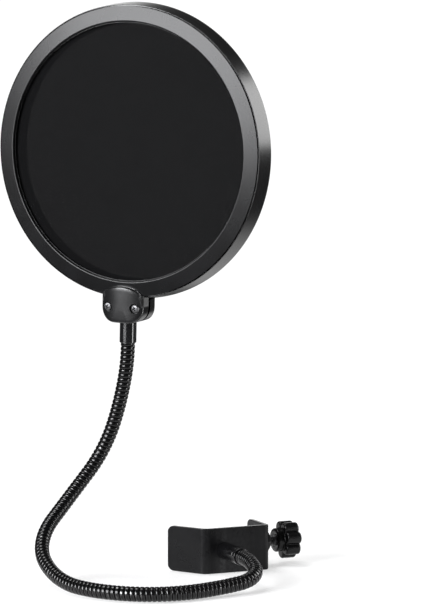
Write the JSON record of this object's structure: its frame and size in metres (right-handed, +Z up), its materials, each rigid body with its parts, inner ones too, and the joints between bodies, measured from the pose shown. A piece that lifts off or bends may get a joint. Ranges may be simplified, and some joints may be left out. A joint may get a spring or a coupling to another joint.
{
  "type": "pop filter",
  "caption": "Round double-screen pop filter on a bendable gooseneck arm, with a screw clamp that grips a microphone stand tube.",
  "frame": {"origin": "on the axis of a 16 mm stand tube held in the clamp's V jaw, level with the lower edge of the clamp bracket, which is what the clamp stands on", "axes": "+Z up along the stand tube, +X along the flat web of the clamp towards the knob, +Y from the web into the jaw"},
  "size_m": [0.1496, 0.1443, 0.2995],
  "materials": {
    "bracket_paint": "satin",
    "nut_steel": "satin",
    "screw_steel": "satin",
    "knob_plastic": "satin",
    "pad_plastic": "matte",
    "ferrule_black": "gloss",
    "bright_steel": "polished",
    "shell_plastic": "satin",
    "ring_plastic": "satin",
    "screen_nylon": "matte",
    "neck_steel": "gloss"
  },
  "bodies": {
    "clamp": {"clamp_bracket": "bracket_paint", "clamp_nut": "nut_steel", "ferrule_screw": "bright_steel", "lower_ferrule": "ferrule_black", "gooseneck_one": "neck_steel"},
    "neck_two": {"gooseneck_two": "neck_steel"},
    "neck_three": {"gooseneck_three": "neck_steel"},
    "neck_four": {"gooseneck_four": "neck_steel"},
    "neck_five": {"gooseneck_five": "neck_steel"},
    "neck_six": {"gooseneck_six": "neck_steel"},
    "neck_seven": {"gooseneck_seven": "neck_steel"},
    "neck_eight": {"gooseneck_eight": "neck_steel"},
    "neck_nine": {"gooseneck_nine": "neck_steel"},
    "neck_ten": {"gooseneck_ten": "neck_steel"},
    "filter": {"gooseneck_eleven": "neck_steel", "upper_ferrule": "ferrule_black", "holder_front": "shell_plastic", "holder_rear": "shell_plastic", "holder_screws": "bright_steel", "front_ring": "ring_plastic", "rear_ring": "ring_plastic", "spacer_ring": "ring_plastic", "front_screen": "screen_nylon", "rear_screen": "screen_nylon"},
    "pad": {"pressure_pad": "pad_plastic"},
    "screw": {"clamp_screw": "screw_steel", "knob": "knob_plastic"}
  },
  "joints": [
    {"name": "neck_bend_one", "type": "hinge", "parent": "clamp", "child": "neck_two", "pos_m": [0.00331, -0.05285, 0.0097], "axis": [0.0736, 0.2291, -0.9706], "range_deg": [-24, 24]},
    {"name": "neck_bend_two", "type": "hinge", "parent": "neck_two", "child": "neck_three", "pos_m": [-0.01168, -0.06644, 0.00536], "axis": [-0.0954, -0.0875, 0.9916], "range_deg": [-24, 24]},
    {"name": "neck_bend_three", "type": "hinge", "parent": "neck_three", "child": "neck_four", "pos_m": [-0.03737, -0.07008, 0.00385], "axis": [-0.0084, -0.0083, 0.9999], "range_deg": [-24, 24]},
    {"name": "neck_bend_four", "type": "hinge", "parent": "neck_four", "child": "neck_five", "pos_m": [-0.06587, -0.0633, 0.00366], "axis": [-0.573, -0.8174, -0.0587], "range_deg": [-24, 24]},
    {"name": "neck_bend_five", "type": "hinge", "parent": "neck_five", "child": "neck_six", "pos_m": [-0.08636, -0.03682, 0.00418], "axis": [0.6957, 0.2825, -0.6604], "range_deg": [-24, 24]},
    {"name": "neck_bend_six", "type": "hinge", "parent": "neck_six", "child": "neck_seven", "pos_m": [-0.09228, -0.0046, 0.01173], "axis": [0.873, -0.2045, 0.4428], "range_deg": [-24, 24]},
    {"name": "neck_bend_seven", "type": "hinge", "parent": "neck_seven", "child": "neck_eight", "pos_m": [-0.07934, 0.01942, 0.02999], "axis": [-0.7165, 0.3539, 0.6011], "range_deg": [-24, 24]},
    {"name": "neck_bend_eight", "type": "hinge", "parent": "neck_eight", "child": "neck_nine", "pos_m": [-0.05761, 0.02558, 0.05226], "axis": [0.7301, 0.3365, -0.5947], "range_deg": [-24, 24]},
    {"name": "neck_bend_nine", "type": "hinge", "parent": "neck_nine", "child": "neck_ten", "pos_m": [-0.04393, 0.02279, 0.07853], "axis": [0.1303, -0.9707, -0.2017], "range_deg": [-24, 24]},
    {"name": "neck_bend_ten", "type": "hinge", "parent": "neck_ten", "child": "filter", "pos_m": [-0.03924, 0.0182, 0.10366], "axis": [-0.7245, 0.6592, 0.2014], "range_deg": [-24, 24]},
    {"name": "pad_travel", "type": "slide", "parent": "clamp", "child": "pad", "axis": [-1, 0, 0], "range_m": [-0.02, 0.004]},
    {"name": "knob_turn", "type": "hinge", "parent": "pad", "child": "screw", "pos_m": [0.00444, 0.0043, 0.0129], "axis": [-1, 0, 0], "range_deg": [-7500, 1600]}
  ],
  "couplings": [
    {"joint": "knob_turn", "follows": "pad_travel", "rad_per_m": 6283.2}
  ]
}
